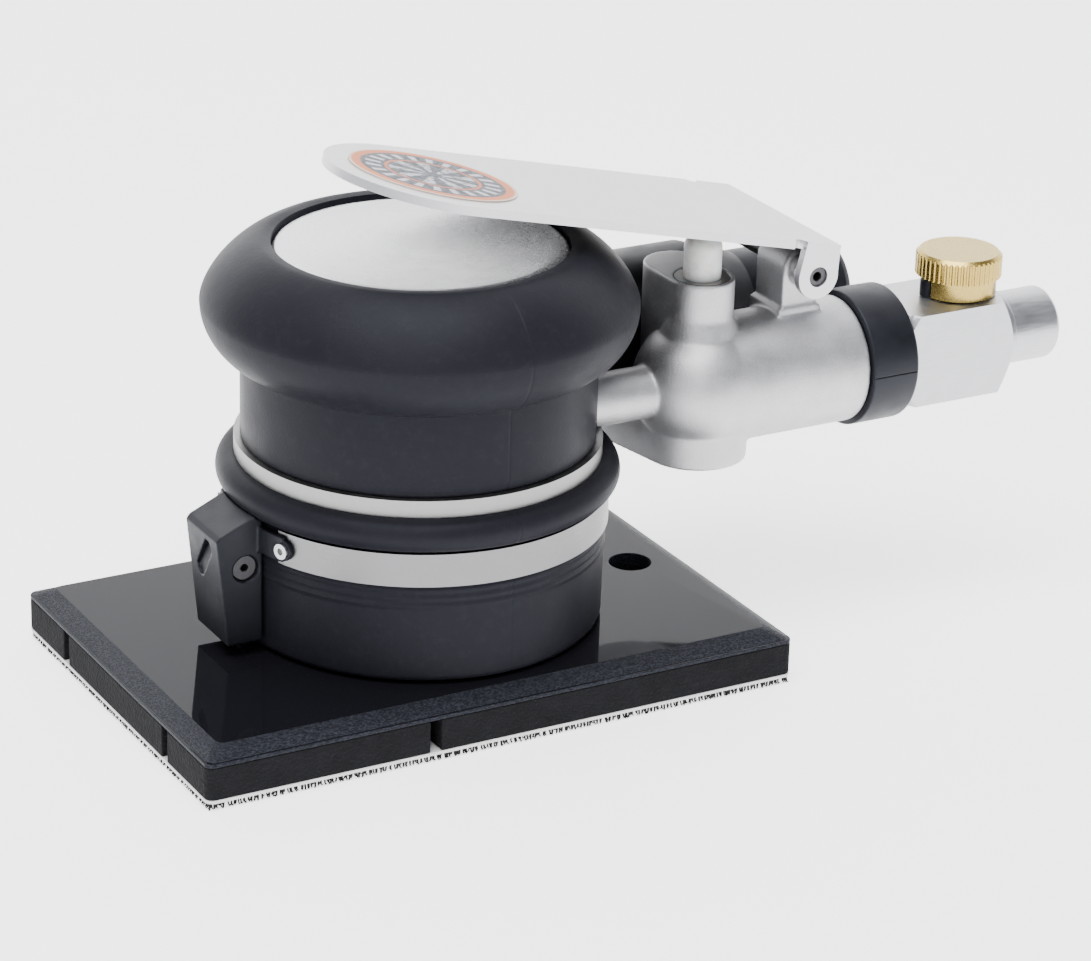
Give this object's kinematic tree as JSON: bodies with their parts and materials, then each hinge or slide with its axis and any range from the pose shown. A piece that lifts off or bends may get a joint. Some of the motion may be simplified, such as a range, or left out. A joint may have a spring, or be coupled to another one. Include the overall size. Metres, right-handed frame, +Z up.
{
  "type": "orbital sander",
  "caption": "Palm orbital sander driven by compressed air: rectangular hook-faced pad, rubber-covered vane motor, throttle lever and speed knob on a side handle.",
  "frame": {"origin": "on the motor axis, in the plane of the hook face that the sander stands on", "axes": "+Z up along the motor axis, -Z out of the hook face; +X from the motor body towards the air inlet; +Y to the exhaust side"},
  "size_m": [0.1782, 0.075, 0.0916],
  "materials": {
    "housing_metal": "satin grey machined",
    "cap_metal": "fine bead blasted",
    "rubber": "matte moulded",
    "band_steel": "satin stainless",
    "black_plastic": "matte moulded",
    "cast_aluminium": "bead blasted casting",
    "bright_aluminium": "brushed bright",
    "lever_aluminium": "satin sheet",
    "brass": "turned and knurled",
    "nylon": "natural white",
    "steel": "ground",
    "bearing_steel": "polished",
    "iron": "machined",
    "vane_composite": "laminate",
    "sintered": "sintered",
    "seal_rubber": "smooth",
    "plate_black": "high gloss black",
    "foam": "closed cell foam",
    "backing_white": "woven backing",
    "hook_fibre": "moulded hooks",
    "badge_print": "printed ring"
  },
  "bodies": {
    "housing": {"motor_housing": "housing_metal", "top_cap": "cap_metal", "rubber_grip": "rubber", "bumper_ring": "rubber", "skirt": "rubber", "clamp_band": "band_steel", "clamp_block": "black_plastic", "band_rivets": "steel", "clamp_screw": "iron", "cylinder_liner": "iron", "liner_dowel": "steel", "lower_end_plate": "iron", "upper_end_plate": "iron", "lower_bearing": "bearing_steel", "upper_bearing": "bearing_steel", "lock_ring": "housing_metal", "valve_body": "cast_aluminium", "guide_bush": "housing_metal", "pin_seal": "seal_rubber", "valve_seat": "brass", "valve_plug": "brass", "valve_spring": "steel", "pivot_pin": "iron", "inlet_collar": "black_plastic", "regulator_block": "bright_aluminium", "inlet_nipple": "bright_aluminium", "inlet_strainer": "steel", "stop_screw": "black_plastic", "exhaust_duct": "black_plastic", "silencer": "sintered"},
    "rotor_unit": {"eccentric_shaft": "steel", "rotor": "iron", "vanes": "vane_composite", "rotor_key": "steel", "counterweight": "iron", "lower_inner_race": "bearing_steel", "upper_inner_race": "bearing_steel", "pad_inner_race": "bearing_steel"},
    "sanding_pad": {"pad_bearing": "bearing_steel", "pad_holder": "housing_metal", "pad_screws": "steel", "pad_plate": "plate_black", "foam_pad": "foam", "hook_backing": "backing_white", "hook_pile": "hook_fibre"},
    "throttle_lever": {"lever": "lever_aluminium", "badge": "badge_print"},
    "throttle_pin": {"push_pin": "nylon", "valve_stem": "brass"},
    "regulator": {"knob": "brass", "knob_seal": "seal_rubber"}
  },
  "joints": [
    {"name": "shaft_spin", "type": "hinge", "parent": "housing", "child": "rotor_unit", "pos_m": [0, 0, 0.03], "axis": [0, 0, 1], "continuous": true},
    {"name": "pad_orbit", "type": "hinge", "parent": "rotor_unit", "child": "sanding_pad", "pos_m": [-0.0015, 0, 0.02], "axis": [0, 0, 1], "continuous": true},
    {"name": "throttle_press", "type": "hinge", "parent": "housing", "child": "throttle_lever", "pos_m": [0.0672, 0, 0.0658], "axis": [0, -1, 0], "range_deg": [0, 4.2], "stiffness_Nm_per_rad": 2, "springref_deg": -5.73},
    {"name": "throttle_pin_slide", "type": "slide", "parent": "housing", "child": "throttle_pin", "axis": [0, 0, -1], "range_m": [0, 0.0016], "deforming": ["valve_spring"]},
    {"name": "regulator_turn", "type": "hinge", "parent": "housing", "child": "regulator", "pos_m": [0.1026, -0.01, 0.0551], "axis": [0, 0, 1], "range_deg": [0, 90]}
  ],
  "couplings": [
    {"joint": "pad_orbit", "follows": "shaft_spin", "ratio": -1},
    {"joint": "throttle_pin_slide", "follows": "throttle_press", "m_per_rad": 0.0205}
  ]
}
